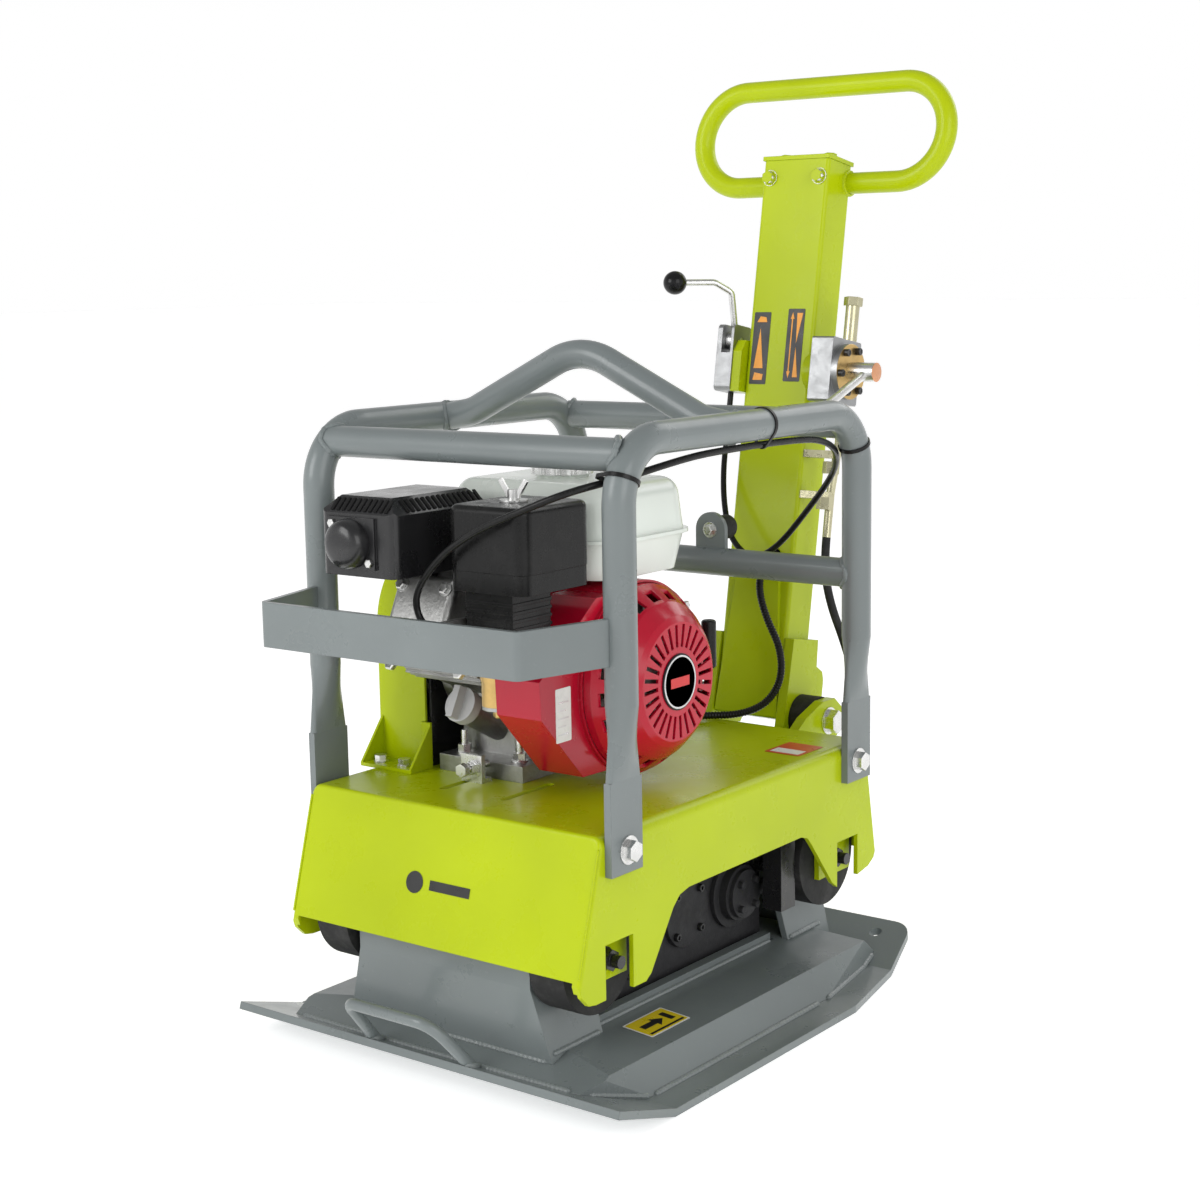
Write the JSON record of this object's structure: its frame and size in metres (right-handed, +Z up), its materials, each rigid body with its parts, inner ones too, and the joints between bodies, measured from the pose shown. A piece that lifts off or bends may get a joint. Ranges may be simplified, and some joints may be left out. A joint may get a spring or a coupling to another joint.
{
  "type": "plate compactor",
  "caption": "Reversible vibratory plate compactor with an engine in a tubular cage, a vibrating base plate and a hinged guide handle.",
  "frame": {"origin": "on the ground at the centre of the base plate's sole", "axes": "+Z up, -Y towards the front edge of the base plate (away from the operator's handle), +X to the right-hand side of the machine, where the recoil starter is"},
  "size_m": [0.5, 0.8205, 1.0162],
  "materials": {
    "lime_paint": "semi-gloss enamel",
    "grey_paint": "semi-gloss enamel",
    "black_paint": "satin enamel",
    "red_paint": "semi-gloss enamel",
    "cream_paint": "gloss enamel",
    "dark_casting": "painted casting",
    "cast_alloy": "as cast",
    "machined_alloy": "machined",
    "bright_zinc": "bright zinc plate",
    "yellow_zinc": "yellow zinc plate",
    "steel": "ground",
    "black_rubber": "moulded",
    "black_plastic": "fine grain",
    "gloss_black": "polished",
    "pale_plastic": "fine grain"
  },
  "bodies": {
    "machine": {"base_plate": "grey_paint", "top_pan": "grey_paint", "rail_bars": "grey_paint", "front_pedestal": "grey_paint", "rear_pedestal": "grey_paint", "carry_loop": "grey_paint", "exciter_housing": "dark_casting", "drive_belt": "black_rubber", "shift_cylinder": "dark_casting", "rubber_mounts": "black_rubber", "mount_bolts": "black_paint", "mount_brackets": "lime_paint", "hood": "lime_paint", "pivot_ears": "lime_paint", "pivot_shaft": "bright_zinc", "belt_adjuster": "bright_zinc", "hose_channel": "black_paint", "cage_hoop_right": "grey_paint", "cage_hoop_left": "grey_paint", "cage_cross_bars": "grey_paint", "lifting_bail": "grey_paint", "bumper_bar": "grey_paint", "cage_bolts": "bright_zinc", "stop_buffer": "black_rubber", "belt_cover": "lime_paint", "belt_backplate": "black_paint", "crankcase": "cast_alloy", "cylinder_head": "cast_alloy", "fan_shroud": "red_paint", "recoil_cover": "red_paint", "fuel_tank": "cream_paint", "air_cleaner_base": "black_plastic", "air_cleaner_cover": "black_plastic", "muffler": "black_paint", "carburettor": "cast_alloy", "deck_bolts": "bright_zinc", "pivot_bushes": "black_rubber", "throttle_cable": "black_plastic", "wiring_conduit": "black_plastic", "hydraulic_hose": "black_rubber", "zip_ties": "black_plastic"},
    "handle": {"handle_post": "lime_paint", "handle_loop": "lime_paint", "post_cap": "lime_paint", "throttle_housing": "machined_alloy", "valve_block": "machined_alloy", "hydraulic_fittings": "yellow_zinc"},
    "throttle_lever": {"throttle_lever": "bright_zinc", "throttle_knob": "gloss_black"},
    "direction_lever": {"direction_lever": "bright_zinc"},
    "crank": {"crankshaft": "steel"},
    "clutch": {"clutch_drum": "steel"},
    "exciter_drive": {"drive_eccentric": "steel", "exciter_pulley": "machined_alloy"},
    "exciter_driven": {"driven_eccentric": "steel"},
    "fuel_cap": {"fuel_cap": "bright_zinc"},
    "wing_nut": {"wing_nut": "bright_zinc"},
    "oil_dipstick": {"oil_dipstick": "pale_plastic"},
    "starter_grip": {"starter_grip": "black_plastic"},
    "choke_lever": {"choke_lever": "black_plastic"}
  },
  "joints": [
    {"name": "handle_swing", "type": "hinge", "parent": "machine", "child": "handle", "pos_m": [0, 0.318, 0.2645], "axis": [-1, 0, 0], "range_deg": [-5, 50], "deforming": ["throttle_cable", "wiring_conduit", "hydraulic_hose"]},
    {"name": "throttle_swing", "type": "hinge", "parent": "handle", "child": "throttle_lever", "pos_m": [-0.066, 0.3699, 0.704], "axis": [1, 0, 0], "range_deg": [0, 50]},
    {"name": "direction_swing", "type": "hinge", "parent": "handle", "child": "direction_lever", "pos_m": [0.12, 0.35, 0.6705], "axis": [1, 0, 0], "range_deg": [-40, 40]},
    {"name": "crank_spin", "type": "hinge", "parent": "machine", "child": "crank", "pos_m": [0, -0.052, 0.3795], "axis": [1, 0, 0], "continuous": true},
    {"name": "clutch_spin", "type": "hinge", "parent": "machine", "child": "clutch", "pos_m": [-0.165, -0.052, 0.3795], "axis": [1, 0, 0], "continuous": true},
    {"name": "exciter_drive_spin", "type": "hinge", "parent": "machine", "child": "exciter_drive", "pos_m": [0, 0.015, 0.113], "axis": [1, 0, 0], "continuous": true},
    {"name": "exciter_driven_spin", "type": "hinge", "parent": "machine", "child": "exciter_driven", "pos_m": [0, 0.105, 0.113], "axis": [1, 0, 0], "continuous": true},
    {"name": "fuel_cap_turn", "type": "hinge", "parent": "machine", "child": "fuel_cap", "pos_m": [-0.022, -0.026, 0.585], "axis": [0, 0, 1], "range_deg": [0, 90]},
    {"name": "wing_nut_turn", "type": "hinge", "parent": "machine", "child": "wing_nut", "pos_m": [0.042, -0.184, 0.575], "axis": [0, 0, 1], "range_deg": [0, 720]},
    {"name": "dipstick_turn", "type": "hinge", "parent": "machine", "child": "oil_dipstick", "pos_m": [-0.066, -0.112, 0.33], "axis": [0, -0.8832, 0.4691], "range_deg": [0, 720]},
    {"name": "starter_pull", "type": "slide", "parent": "machine", "child": "starter_grip", "axis": [0.8, 0.6, 0], "range_m": [0, 0.5], "stiffness_N_per_m": 20, "springref_m": -0.1},
    {"name": "choke_swing", "type": "hinge", "parent": "machine", "child": "choke_lever", "pos_m": [0.037, -0.214, 0.424], "axis": [1, 0, 0], "range_deg": [0, 45]}
  ],
  "couplings": [
    {"joint": "exciter_drive_spin", "follows": "clutch_spin", "ratio": 1.19},
    {"joint": "exciter_driven_spin", "follows": "clutch_spin", "ratio": -1.19}
  ]
}
